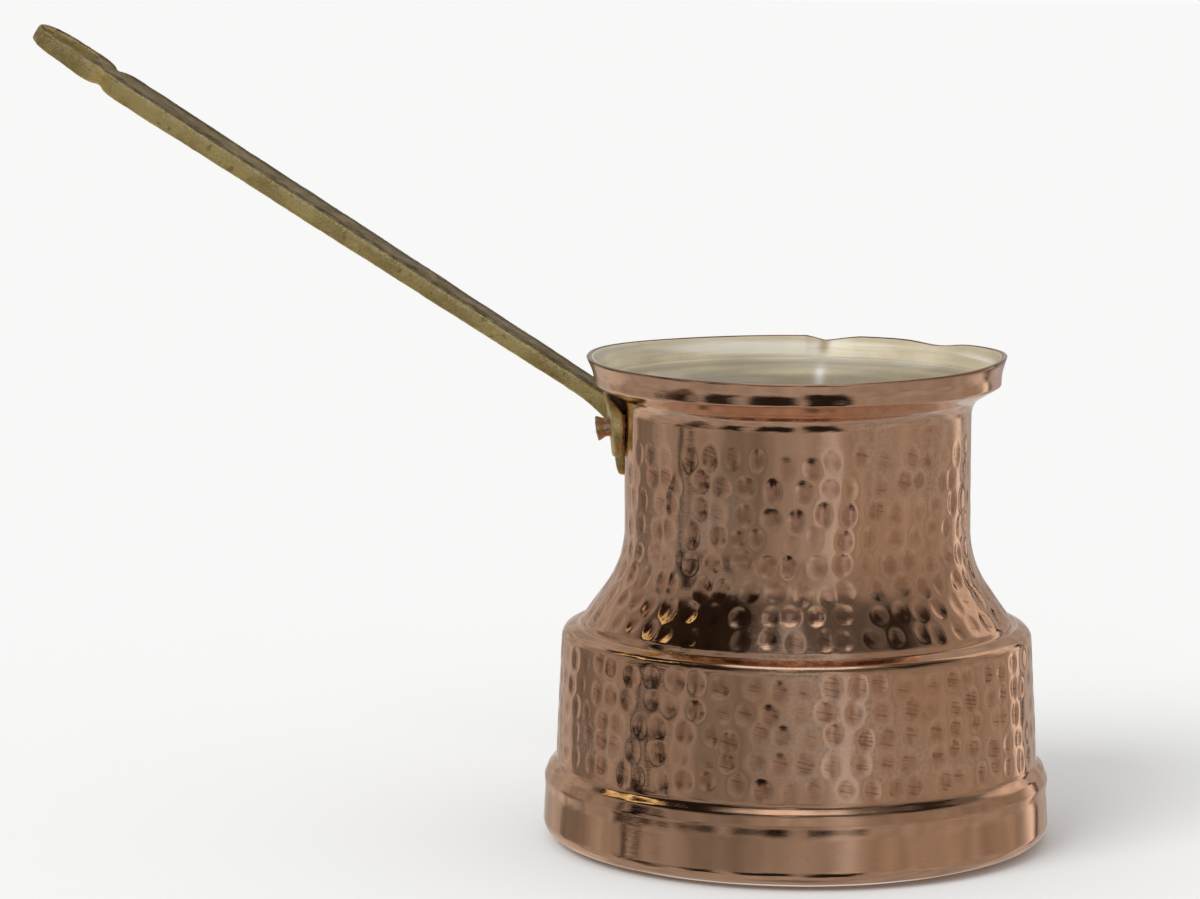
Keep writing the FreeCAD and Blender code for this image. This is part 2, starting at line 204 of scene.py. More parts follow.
def make_camera():
    """A low camera in front and a little to the right, with a long lens."""
    data = bpy.data.cameras.new("camera")
    data.lens = CAMERA_LENS
    data.sensor_width = CAMERA_SENSOR
    data.clip_end = CAMERA_REACH
    camera = bpy.data.objects.new("camera", data)
    azimuth = math.radians(CAMERA_AZIMUTH)
    camera.location = (CAMERA_DISTANCE * math.sin(azimuth), -CAMERA_DISTANCE * math.cos(azimuth),
                       CAMERA_HEIGHT)
    camera.rotation_euler = (math.radians(90 + CAMERA_PITCH), 0, math.radians(CAMERA_TURN))
    bpy.context.scene.collection.objects.link(camera)
    bpy.context.scene.camera = camera


# ---------------------------------------------------------------- outlines

def rounded_path(corners, step):
    """Points at most step apart along a polyline whose corners are rounded by tangent arcs."""
    points = [np.array(corners[0][:2], float)]
    for before, corner, after in zip(corners, corners[1:], corners[2:]):
        here = np.array(corner[:2], float)
        back, ahead = np.array(before[:2]) - here, np.array(after[:2]) - here
        room = 0.48 * min(np.linalg.norm(back), np.linalg.norm(ahead))
        back, ahead = back / np.linalg.norm(back), ahead / np.linalg.norm(ahead)
        turn = math.pi - math.acos(np.clip(back @ ahead, -1, 1))
        if corner[2] <= 0 or turn < 1e-4:
            points.append(here)
            continue
        cut = min(corner[2] * math.tan(turn / 2), room)
        radius = cut / math.tan(turn / 2)
        bisector = (back + ahead) / np.linalg.norm(back + ahead)
        centre = here + bisector * math.hypot(cut, radius)
        first, last = here + back * cut - centre, here + ahead * cut - centre
        count = max(3, int(math.ceil(radius * turn / (0.5 * step))))
        for share in np.linspace(0, 1, count + 1):
            arm = math.sin((1 - share) * turn) * first + math.sin(share * turn) * last
            arm = arm / math.sin(turn)
            points.append(centre + arm)
    points.append(np.array(corners[-1][:2], float))
    return resample(np.array(points), step)


def resample(points, step):
    """Divides each run longer than step and drops points that crowd together."""
    kept = [points[0]]
    for point in points[1:-1]:
        if np.linalg.norm(point - kept[-1]) > 0.3 * step:
            kept.append(point)
    kept.append(points[-1])
    dense = [kept[0]]
    for start, end in zip(kept, kept[1:]):
        count = max(1, int(math.ceil(np.linalg.norm(end - start) / step)))
        dense += [start + (end - start) * k / count for k in range(1, count + 1)]
    return np.array(dense)


def arc_lengths(path):
    """Distance along a path, at each of its points."""
    return np.concatenate([[0], np.cumsum(np.linalg.norm(np.diff(path, axis=0), axis=1))])


def path_normals(path):
    """Unit normals on the outer side of a half section that runs from the axis up to the rim."""
    along = np.gradient(path, axis=0)
    along /= np.linalg.norm(along, axis=1)[:, None]
    return np.stack([along[:, 1], -along[:, 0]], axis=1)


def inset_path(path, inset):
    """The half section moved inwards, square to its own face."""
    return path - path_normals(path) * inset


# ---------------------------------------------------------------- meshes

def finish_mesh(name, mesh, smooth=True):
    """A piece in the scene made of the mesh."""
    if smooth:
        mesh.shade_smooth()
    piece = bpy.data.objects.new(name, mesh)
    bpy.context.scene.collection.objects.link(piece)
    return piece


def set_attribute(mesh, name, values):
    """One number per point, for the materials to read."""
    layer = mesh.attributes.new(name, "FLOAT", "POINT")
    layer.data.foreach_set("value", np.asarray(values, np.float32))


def lathe_mesh(name, radius, height, theta):
    """A closed surface of revolution from grids of radius and height; both ends lie on the axis."""
    rings, segments = radius.shape
    inner = slice(1, rings - 1)
    around = radius[inner] * np.cos(theta), radius[inner] * np.sin(theta), height[inner]
    ring_points = np.stack(around, -1).reshape(-1, 3)
    vertices = np.vstack([[(0, 0, height[0, 0])], ring_points, [(0, 0, height[-1, 0])]])
    column = np.arange(segments)
    following = (column + 1) % segments
    faces = [(0, 1 + b, 1 + a) for a, b in zip(column, following)]
    for ring in range(rings - 3):
        low, high = 1 + ring * segments, 1 + (ring + 1) * segments
        faces += [(low + a, low + b, high + b, high + a) for a, b in zip(column, following)]
    last, top = len(vertices) - 1, 1 + (rings - 3) * segments
    faces += [(last, top + a, top + b) for a, b in zip(column, following)]
    mesh = bpy.data.meshes.new(name)
    mesh.from_pydata((vertices * MM).tolist(), [], faces)
    mesh.update()
    return mesh


def ring_values(grid):
    """A per-point grid in the order of lathe_mesh's vertices."""
    return np.concatenate([[grid[0, 0]], grid[1:-1].ravel(), [grid[-1, 0]]])


# ---------------------------------------------------------------- the vessel's unevenness

def angle_gap(angle, centre):
    """Signed angle from centre, in degrees, wrapped to -180..180."""
    return (np.degrees(angle) - centre + 180) % 360 - 180


def rim_warp(theta, radius, height):
    """Creases the lip and makes the rim a little uneven, more towards its edge."""
    rise = np.clip((height - BAND_FOOT) / (RIM_HEIGHT - BAND_FOOT), 0, 1)
    across = np.radians(angle_gap(theta, LIP_AZIMUTH)) * RIM_RADIUS
    side = np.where(across > 0, LIP_LEFT, LIP_RIGHT)
    crease = np.clip(LIP_PEAK - np.sqrt((across / side) ** 2 + LIP_ROUND), 0, 1)
    radius = radius + LIP_REACH * crease * rise ** 0.8
    for azimuth, spread, lift, spring in RIM_WAVES:
        wave = np.exp(-(np.radians(angle_gap(theta, azimuth)) * RIM_RADIUS / spread) ** 2)
        height = height + lift * wave * rise ** 2
        radius = radius + spring * wave * rise
    height = height - LIP_DROP * crease ** 1.2 * rise ** 2
    return radius, height


def waviness(theta, along):
    """Low, slow dents of hand-worked sheet, in millimetres; repeats round the pot."""
    waves = 0.0
    for lobes, length, size in DENTS:
        phase, drift = rng.uniform(0, 2 * math.pi, 2)
        lengthwise = np.sin(2 * math.pi * along / length + drift)
        waves = waves + size * np.sin(lobes * theta + phase) * lengthwise
    return waves


def dented_share(radius):
    """0 near the middle of the flat bottom, 1 at its edge and up the wall."""
    return np.clip((radius - DENTS_FROM) / DENTS_SPAN, 0, 1)


def hammer_marks(path, theta):
    """Depth of the hammer marks over the outer surface, laid in slightly uneven staggered rows."""
    along = arc_lengths(path)
    depth = np.zeros((len(path), len(theta)))
    upright = (path[:, 1] > WALL_LOW) & (path[:, 1] < WALL_HIGH) & (path[:, 0] > WALL_RADIUS)
    wall = np.flatnonzero(upright)
    for top, bottom in MARK_ZONES:
        start, end = (np.interp(level, path[wall, 1], along[wall]) for level in (bottom, top))
        rows = int(round((end - start) / MARK_PITCH))
        for row in range(rows + 1):
            level = start + (end - start) * row / rows
            radius = np.interp(level, along, path[:, 0])
            count = int(round(2 * math.pi * radius / MARK_PITCH))
            phase = rng.uniform(0, 2 * math.pi)
            for mark in range(count):
                shift, drop, wide, tall, deep = rng.normal(0, 1, 5)
                centre = phase + (mark + STRAY_SIDEWAYS * shift) * 2 * math.pi / count
                middle = level + STRAY_UP * drop
                half_wide = 0.5 * MARK_ACROSS * (1 + STRAY_SIZE * wide)
                half_tall = 0.5 * MARK_TALL * (1 + STRAY_SIZE * tall)
                rings = np.flatnonzero(np.abs(along - middle) < MARK_REACH * half_tall)
                gap = (theta - centre + math.pi) % (2 * math.pi) - math.pi
                columns = np.flatnonzero(np.abs(gap) * radius < MARK_REACH * half_wide)
                across = (gap[columns] * radius / half_wide)[None, :]
                upward = ((along[rings] - middle) / half_tall)[:, None]
                bowl = MARK_DEPTH * (1 + STRAY_DEPTH * deep) * (1 - across ** 2 - upward ** 2)
                bowl = 0.5 * (bowl + np.sqrt(bowl ** 2 + MARK_BLEND ** 2))
                window = np.ix_(rings, columns)
                depth[window] = np.maximum(depth[window], bowl)
    return depth


def build_vessel():
    """The copper: a hammered and dented outer face, the sheared edge, and a plain inner face."""
    outer = rounded_path(OUTER, HAMMERED_STEP)
    theta = np.linspace(0, 2 * math.pi, SEGMENTS, endpoint=False)
    along = arc_lengths(outer)
    normals = path_normals(outer)
    marks = hammer_marks(outer, theta)
    push = waviness(theta[None, :], along[:, None]) * dented_share(outer[:, :1]) - marks
    radius = outer[:, :1] + normals[:, :1] * push
    height = outer[:, 1:] + normals[:, 1:] * push

    # the rim's edge, then the hidden inner face back down to the axis
    inner = inset_path(rounded_path(OUTER, PLAIN_STEP), COPPER_WALL)[::-1]
    inner[0, 1] = RIM_HEIGHT
    inner[-1, 0] = 0
    edge = np.array(RIM_EDGE) + (RIM_RADIUS, RIM_HEIGHT)
    rest = np.vstack([edge, inner])
    radius = np.vstack([radius, np.repeat(rest[:, :1], SEGMENTS, 1)])
    height = np.vstack([height, np.repeat(rest[:, 1:], SEGMENTS, 1)])
    radius, height = rim_warp(theta[None, :], radius, height)
    mesh = lathe_mesh("pot_body_visual", radius, height, theta)
    plain = np.zeros((len(rest), SEGMENTS))
    set_attribute(mesh, "mark", ring_values(np.vstack([marks / MARK_DEPTH, plain])))
    edge_share = np.clip((height - (RIM_HEIGHT - EDGE_BELOW)) / EDGE_FADE, 0, 1)
    set_attribute(mesh, "edge", ring_values(edge_share))
    middle, half, share = COVE_PAINTED_REFLECTION
    # painted reflection: a paler band in the hollow under the rim
    cove_reflection = share * np.clip(1.5 - np.abs(height - middle) / half, 0, 1)
    set_attribute(mesh, "cove_reflection", ring_values(cove_reflection))
    return finish_mesh("pot_body_visual", mesh)


def build_lining():
    """The tin, a thin skin just inside the copper that ends a little under the rim's edge."""
    theta = np.linspace(0, 2 * math.pi, SEGMENTS, endpoint=False)
    base = rounded_path(OUTER, TIN_STEP)
    far = inset_path(base, COPPER_WALL + TIN_GAP)
    near = inset_path(base, COPPER_WALL + TIN_WALL)[::-1]
    far[-1, 1] = near[0, 1] = RIM_HEIGHT + TIN_GAP
    far[0, 0] = near[-1, 0] = 0
    path = np.vstack([far, near])
    along = arc_lengths(path)
    ripple = TIN_RIPPLE * waviness(theta[None, :], along[:, None]) * dented_share(path[:, :1])
    skin = np.concatenate([np.zeros(len(far)), np.ones(len(near))])[:, None]
    radius = path[:, :1] - skin * np.abs(ripple)
    radius, height = rim_warp(theta[None, :], radius, np.repeat(path[:, 1:], SEGMENTS, 1))
    mesh = lathe_mesh("tin_lining_visual", radius, height, theta)
    across = (np.radians(angle_gap(theta, LIP_AZIMUTH)) * RIM_RADIUS)[None, :]
    # painted shade down the crease in the lip
    crease = np.exp(-(across / CREASE_HALF_WIDTH) ** 2)
    crease = crease * np.clip((height - TIN_BAND_FOOT) / CREASE_FADE, 0, 1)
    set_attribute(mesh, "crease", ring_values(crease))
    # painted highlight: a pale run down the neck below the crease
    run_highlight = np.exp(-(across / RUN_HALF_WIDTH) ** 2) * np.clip((TIN_BAND_FOOT - height) / RUN_FADE, 0, 1)
    run_highlight = run_highlight * np.clip((height - RUN_FOOT) / RUN_FOOT_FADE, 0, 1)
    set_attribute(mesh, "run_highlight", ring_values(run_highlight))
    return finish_mesh("tin_lining_visual", mesh)


# ---------------------------------------------------------------- the handle

def plate_mesh(name, loops, thickness, edge, voxel):
    """A flat plate with rounded edges from closed outlines, the later ones being holes, as a mesh."""
    curve = bpy.data.curves.new(name, "CURVE")
    curve.dimensions = "2D"
    curve.fill_mode = "BOTH"
    curve.extrude = thickness / 2 - edge
    curve.bevel_depth = edge
    curve.bevel_resolution = 3
    curve.offset = -edge
    for loop in loops:
        spline = curve.splines.new("POLY")
        spline.points.add(len(loop) - 1)
        for point, (x, y) in zip(spline.points, loop):
            point.co = (x, y, 0, 1)
        spline.use_cyclic_u = True
    flat = bpy.data.objects.new(name, curve)
    bpy.context.scene.collection.objects.link(flat)
    mesh = bpy.data.meshes.new_from_object(flat.evaluated_get(bpy.context.evaluated_depsgraph_get()))
    bpy.data.objects.remove(flat)
    edit = bmesh.new()
    edit.from_mesh(mesh)
    bmesh.ops.remove_doubles(edit, verts=edit.verts, dist=1e-4)
    edit.to_mesh(mesh)
    edit.free()
    return remeshed(name, mesh, voxel, 0)


def remeshed(name, mesh, voxel, smoothing):
    """The mesh after a voxel remesh, which also fuses overlapping shells, and some smoothing."""
    piece = bpy.data.objects.new(name, mesh)
    bpy.context.scene.collection.objects.link(piece)
    remesh = piece.modifiers.new("remesh", "REMESH")
    remesh.mode = "VOXEL"
    remesh.voxel_size = voxel
    if smoothing:
        smooth = piece.modifiers.new("smooth", "SMOOTH")
        smooth.iterations = smoothing
        smooth.factor = 0.5
    result = bpy.data.meshes.new_from_object(piece.evaluated_get(bpy.context.evaluated_depsgraph_get()))
    bpy.data.objects.remove(piece)
    return result


def mesh_points(mesh):
    """The mesh's points as rows."""
    points = np.empty(len(mesh.vertices) * 3)
    mesh.vertices.foreach_get("co", points)
    return points.reshape(-1, 3)


def mesh_normals(mesh):
    """The direction square to the surface at each point, as rows."""
    normals = np.empty(len(mesh.vertices) * 3, np.float32)
    mesh.vertex_normals.foreach_get("vector", normals)
    return normals.reshape(-1, 3)


def move_points(mesh, points):
    """Puts the mesh's points where the rows say."""
    mesh.vertices.foreach_set("co", np.asarray(points, np.float32).ravel())
    mesh.update()


def circle_arc(centre, radius, start, end, count):
    """Points on an arc between two angles in degrees."""
    angles = np.radians(np.linspace(start, end, count))
    return [(centre[0] + radius * math.cos(a), centre[1] + radius * math.sin(a)) for a in angles]


def foot_outline():
    """The trefoil: two lobes for the rivets and a tail, as (across, height)."""
    meet = math.degrees(math.acos((LOBE_OFFSET - TAIL_HALF_WIDTH) / LOBE_RADIUS))
    right = circle_arc((LOBE_OFFSET, LOBE_HEIGHT), LOBE_RADIUS, 180 + meet, 450, 30)
    tail = circle_arc((0, FOOT_BOTTOM + TAIL_HALF_WIDTH), TAIL_HALF_WIDTH, 215, 325, 12)
    left = [(-x, y) for x, y in reversed(right)]
    return tail + right + left


def build_foot():
    """The trefoil plate bent round the neck, its outer face leaning and its lobes thinner."""
    mesh = plate_mesh("foot", [foot_outline()], FOOT_PLATE, FOOT_EDGE, FOOT_VOXEL)
    across, height, depth = mesh_points(mesh).T
    share = depth / FOOT_PLATE + 0.5
    inner = FOOT_INNER + FOOT_FLARE * np.clip(height - FOOT_RELIEF, 0, None)
    lean = (height - FOOT_BOTTOM) * math.tan(math.radians(FOOT_LEAN))
    outer = FOOT_INNER + FOOT_BOTTOM_THICKNESS + lean
    lobe = np.clip((np.abs(across) - LOBE_FROM) / LOBE_SPAN, 0, 1)
    radius = inner + share * (outer - inner) * (1 - LOBE_THINNING * lobe)
    angle = across / FOOT_INNER
    move_points(mesh, np.stack([-radius * np.cos(angle), radius * np.sin(angle), height], 1))
    return mesh


def arc_through(start, end, radius, count):
    """Points on the clockwise arc from start to end."""
    start, end = np.array(start), np.array(end)
    chord = end - start
    length = np.linalg.norm(chord)
    side = np.array([chord[1], -chord[0]]) / length
    centre = (start + end) / 2 + side * math.sqrt(radius ** 2 - length ** 2 / 4)
    begin, finish = (math.degrees(math.atan2(*(point - centre)[::-1])) for point in (start, end))
    return circle_arc(centre, radius, begin, finish if finish < begin else finish - 360, count)


def oval(distance, offset, radius, count):
    """A loop with two round ends either side of distance."""
    return (circle_arc((distance + offset, 0), radius, 90, -90, count)
            + circle_arc((distance - offset, 0), radius, 270, 90, count))


def bar_outline():
    """Bar, rounded shoulders, a notch either side, and the oval ring, as (along, across)."""
    half_start, half_end = 0.5 * BAR_WIDTHS[0], 0.5 * BAR_WIDTHS[1]
    middle, offset, radius = RING
    opening = math.degrees(math.asin(RING_NECK / radius))
    shoulder = arc_through((BAR_LENGTH, half_end), (NOTCH, RING_NECK), SHOULDER_ROUND, 14)
    side = [(-BAR_TUCK, half_start)] + shoulder
    side += circle_arc((middle - offset, 0), radius, 180 - opening, 90, 16)[1:]
    end = circle_arc((middle + offset, 0), radius, 90, -90, 34)
    return side + end + [(x, -y) for x, y in reversed(side)]


def build_bar():
    """Bar and ring from a flat plate: thicker outwards, swollen at the root, the ring twisted."""
    start, end = BAR_THICKNESSES
    mesh = plate_mesh("bar", [bar_outline(), oval(*RING_HOLE, 24)], end, BAR_EDGE, BAR_VOXEL)
    along, across, rise = mesh_points(mesh).T
    bar_share = np.clip(along / BAR_LENGTH, 0, 1)
    ring_share = np.clip((along - BAR_LENGTH - RING_BLEND_FROM) / RING_BLEND_SPAN, 0, 1)
    thickness = start + (end - start) * bar_share + (RING_THICKNESS - end) * ring_share
    swell = ROOT_SWELL * np.clip(1 - along / ROOT_REACH, 0, 1) ** 2
    rise = rise * thickness / end - np.where(rise < 0, swell, 0) + RING_RISE * ring_share
    taper = RING_TAPER * np.clip((along - TAPER_FROM) / TAPER_SPAN, 0, 1)
    rise = np.where(rise < 0, rise * (1 - taper), rise)
    rise = rise - NOTCH_DEPTH * np.exp(-((along - NOTCH) / NOTCH_HALF_WIDTH) ** 2) * np.sign(rise)
    twist = np.radians(RING_TWIST) * np.clip((along - NOTCH + TWIST_LEAD) / TWIST_SPAN, 0, 1)
    turned = across * np.cos(twist) + rise * np.sin(twist)
    rise = rise * np.cos(twist) - across * np.sin(twist)
    out, up = bar_direction()
    points = [BAR_START[0] - along * out + rise * up, turned, BAR_START[2] + along * up + rise * out]
    move_points(mesh, np.stack(points, 1))
    return mesh


def bar_direction():
    """How far the bar goes out and up for each millimetre along it."""
    angle = math.radians(BAR_ANGLE)
    return math.cos(angle), math.sin(angle)


def noise_at(points, waves):
    """A sum of noises at each point."""
    return np.array([sum(size * noise.noise(Vector(point) * frequency) for frequency, size in waves)
                     for point in points])


def build_handle():
    """Foot, bar and ring fused into one casting, then given a rough cast skin and its tarnish."""
    joined = bmesh.new()
    for mesh in (build_foot(), build_bar()):
        joined.from_mesh(mesh)
    mesh = bpy.data.meshes.new("handle_visual")
    joined.to_mesh(mesh)
    joined.free()
    mesh = remeshed("handle_visual", mesh, CAST_VOXEL, 3)
    points = mesh_points(mesh)
    move_points(mesh, points + mesh_normals(mesh) * noise_at(points, CAST_SKIN)[:, None])
    tarnish_handle(mesh, points)
    move_points(mesh, mesh_points(mesh) * MM)
    return finish_mesh("handle_visual", mesh)


def tarnish_handle(mesh, points):
    """Tarnish on the top face and the ring's end, soot along the top's edges, worn corners painted
    brighter as highlights, and painted glints.
    """
    out, up = bar_direction()
    square_to_bar = np.array([up, 0, out])
    facing = mesh_normals(mesh) @ square_to_bar
    along = (BAR_START[0] - points[:, 0]) / out
    ragged = noise_at(points, RAGGED)
    on_top = np.clip((facing + TOP_RAGGED * ragged - TOP_FACING) / TOP_FADE, 0, 1)
    at_end = np.clip((-points[:, 0] - END_FROM) / END_SPAN, 0, 1) * np.clip(0.55 + 1.2 * ragged, 0, 0.7)
    tarnish = np.maximum(on_top, at_end)
    set_attribute(mesh, "tarnish", tarnish)
    half_width = 0.5 * np.interp(along, (0, BAR_LENGTH), BAR_WIDTHS)
    from_side = half_width - np.abs(points[:, 1])
    from_line = from_side - SOOT_INSET - SOOT_RAGGED * ragged
    soot = tarnish * np.exp(-(from_line / SOOT_HALF_WIDTH) ** 2)
    set_attribute(mesh, "soot", soot)
    # painted highlight, partly wear: the rounded corners between top and sides painted brighter
    corners = np.exp(-((facing - CORNER_FACING) / CORNER_SPREAD) ** 2) * np.clip(0.4 + 2.2 * ragged, 0, 1)
    half_thickness = 0.5 * np.interp(along, (0, BAR_LENGTH), BAR_THICKNESSES)
    from_top = half_thickness - (points - BAR_START) @ square_to_bar
    # painted glints: bright flecks just below the top face
    flecks = np.clip(5 * noise_at(points, FLECKS) + 2 * ragged + 0.2, 0, 1) * (1 - tarnish)
    flecks = flecks * np.exp(-((from_top - FLECK_INSET) / FLECK_HALF_WIDTH) ** 2)
    set_attribute(mesh, "wear_and_glints", np.maximum(corners, flecks))


# ---------------------------------------------------------------- the rivets

def build_rivet(name, side):
    """The peened outer end leans with the foot's face; the low inner head follows the neck's wall."""
    azimuth, lean = math.radians(RIVET_AZIMUTH) * side, math.radians(FOOT_LEAN)
    seat = Vector((-RIVET_SEAT * math.cos(azimuth), RIVET_SEAT * math.sin(azimuth), RIVET_HEIGHT))
    level = math.cos(lean)
    outward = Vector((-math.cos(azimuth) * level, math.sin(azimuth) * level, -math.sin(lean)))
    turn = outward.to_track_quat("Z", "Y").to_matrix()
    theta = np.linspace(0, 2 * math.pi, RIVET_SEGMENTS, endpoint=False)
    meshes = []
    for outline in (RIVET_SHANK, RIVET_HEAD):
        path = rounded_path(outline, RIVET_STEP)
        radius, height = (np.repeat(column[:, None], RIVET_SEGMENTS, 1) for column in path.T)
        meshes.append(lathe_mesh(name, radius, height, theta))
    joined = bmesh.new()
    for mesh, wraps in zip(meshes, (False, True)):
        points = mesh_points(mesh) / MM
        dents = [noise.noise(Vector(point) * 0.9 + Vector((9 * side, 0, 0))) for point in points]
        points = points * (1 + RIVET_DENTS * np.array(dents)[:, None])
        if wraps:
            angle = azimuth + points[:, 1] / LINING_RADIUS
            depth = LINING_RADIUS - points[:, 2]
            height = RIVET_HEIGHT + HEAD_LIFT + points[:, 0]
            points = np.stack([-depth * np.cos(angle), depth * np.sin(angle), height], 1)
        else:
            points = points @ np.array(turn).T + np.array(seat)
        move_points(mesh, points * MM)
        joined.from_mesh(mesh)
    bmesh.ops.recalc_face_normals(joined, faces=joined.faces)
    mesh = bpy.data.meshes.new(name)
    joined.to_mesh(mesh)
    joined.free()
    return finish_mesh(name, mesh)


# ---------------------------------------------------------------- materials

# colours of the copper: two tones in soft patches, the floor of a hammer mark, small spots, scores in
# the marks, rubbed places, the painted reflection that makes the hollow under the rim paler, and the
# sheared edge
COPPER_TONES = (0.92, 0.565, 0.375, 1), (0.84, 0.495, 0.32, 1)
MARK_FLOOR = (0.66, 0.35, 0.225, 1)
COPPER_SPOT = (0.42, 0.24, 0.16, 1)
COPPER_SCORE = (0.36, 0.18, 0.11, 1)
COPPER_RUBBED = (0.97, 0.76, 0.64, 1)
COPPER_PALE = (0.93, 0.71, 0.57, 1)
COPPER_EDGE = (0.30, 0.16, 0.10, 1)
RUBBED_ABOVE = (0.018, 0.022)
MEAN_RADIUS = 0.045

# colours of the tin: two tones, stains, wiped streaks, pale smears that are partly painted highlight
# streaks, painted shade from the slope below the rim band down, the top of the band, painted shade along
# the bend between them, painted shade in the crease in the lip and a painted highlight run under it
TIN_TONES = (0.94, 0.83, 0.62, 1), (0.74, 0.64, 0.45, 1)
TIN_STAIN = (0.50, 0.42, 0.26, 1)
TIN_WIPED = (0.56, 0.49, 0.36, 1)
TIN_SMEAR_AND_HIGHLIGHT = (1.0, 0.96, 0.86, 1)
TIN_SLOPE_SHADE = (0.36, 0.30, 0.20, 1)
TIN_TOP = (0.40, 0.33, 0.21, 1)
TIN_BEND_SHADE = (0.20, 0.17, 0.12, 1)
TIN_CREASE_SHADE = (0.34, 0.27, 0.13, 1)
TIN_RUN_HIGHLIGHT = (0.96, 0.94, 0.88, 1)
SLOPE_LEVELS = (0.0895, 0.0912)
TOP_LEVELS = (0.0946, 0.0960)
BEND_SHADE_LEVEL, BEND_SHADE_FADE = 0.0912, (0.0002, 0.0010)

# colours of the brass: two tones, dull grain, pits, two tones of the tarnish film, soot, worn places with
# painted highlights and glints
BRASS_TONES = (1.0, 0.80, 0.34, 1), (0.68, 0.51, 0.20, 1)
BRASS_GRAIN = (0.40, 0.30, 0.12, 1)
BRASS_PIT = (0.22, 0.16, 0.07, 1)
FILM_TONES = (0.25, 0.175, 0.065, 1), (0.46, 0.335, 0.14, 1)
BRASS_SOOT = (0.055, 0.042, 0.018, 1)
BRASS_WEAR_AND_GLINT = (1.0, 0.86, 0.48, 1)


class Shader:
    """Adds nodes to a tree and wires them, one call for each."""

    def __init__(self, tree):
        self.tree = tree

    def add(self, kind, values=(), output=0, **settings):
        node = self.tree.nodes.new("ShaderNode" + kind)
        for setting, value in settings.items():
            setattr(node, setting, value)
        for key, value in (values.items() if isinstance(values, dict) else enumerate(values)):
            self.feed(node.inputs[key], value)
        return node.outputs[output]

    def feed(self, socket, value):
        if isinstance(value, bpy.types.NodeSocket):
            self.tree.links.new(value, socket)
        elif value is not None:
            socket.default_value = value

    def math(self, operation, *values):
        return self.add("Math", values, operation=operation)

    def product(self, *values):
        """All the values multiplied together."""
        result = values[0]
        for value in values[1:]:
            result = self.math("MULTIPLY", result, value)
        return result

    def attribute(self, name):
        """The number a mesh carries under the name."""
        return self.add("Attribute", attribute_name=name, output=2)

    def height_of(self, vector):
        """The upward part of a vector."""
        return self.add("SeparateXYZ", (vector,), output=2)

    def ramp(self, value, low, high, start=0.0, end=1.0):
        """A smooth step of value from low to high."""
        return self.add("MapRange", (value, low, high, start, end), interpolation_type="SMOOTHSTEP")

    def mix(self, share, first, second):
        """A colour between two."""
        return self.add("Mix", {0: share, 6: first, 7: second}, output=2, data_type="RGBA")

    def noise(self, vector, scale, detail=3.0, roughness=0.5):
        values = {"Vector": vector, "Scale": scale, "Detail": detail, "Roughness": roughness}
        return self.add("TexNoise", values)

    def stretched(self, vector, scale, turn=0.0):
        """Coordinates turned in their own plane, then scaled."""
        if turn:
            vector = self.add("Mapping", {"Vector": vector, "Rotation": (0, 0, math.radians(turn))})
        return self.add("Mapping", {"Vector": vector, "Scale": scale}, vector_type="POINT")

    def streaks(self, vector, scale, detail, roughness, turn=0.0):
        """Noise drawn out by a different scale along each direction."""
        return self.noise(self.stretched(vector, scale, turn), 1.0, detail, roughness)

    def bump(self, surface, height, strength, distance):
        """Fine relief on a surface."""
        values = {"Strength": strength, "Distance": distance, "Height": height}
        self.feed(surface.inputs["Normal"], self.add("Bump", values))


def new_material(name):
    """A material, the helper for its nodes, its surface, and the point being shaded."""
    material = bpy.data.materials.new(name)
    material.use_nodes = True
    shader = Shader(material.node_tree)
    surface = material.node_tree.nodes["Principled BSDF"]
    place = shader.add("TexCoord", output=3)
    return material, shader, surface, place


def round_the_pot(shader, place):
    """Coordinates that run round the axis and up it, for marks left by spinning and polishing."""
    x, y, z = (shader.add("SeparateXYZ", (place,), output=k) for k in range(3))
    around = shader.product(shader.math("ARCTAN2", y, x), MEAN_RADIUS)
    return shader.add("CombineXYZ", (around, z, 0.0))


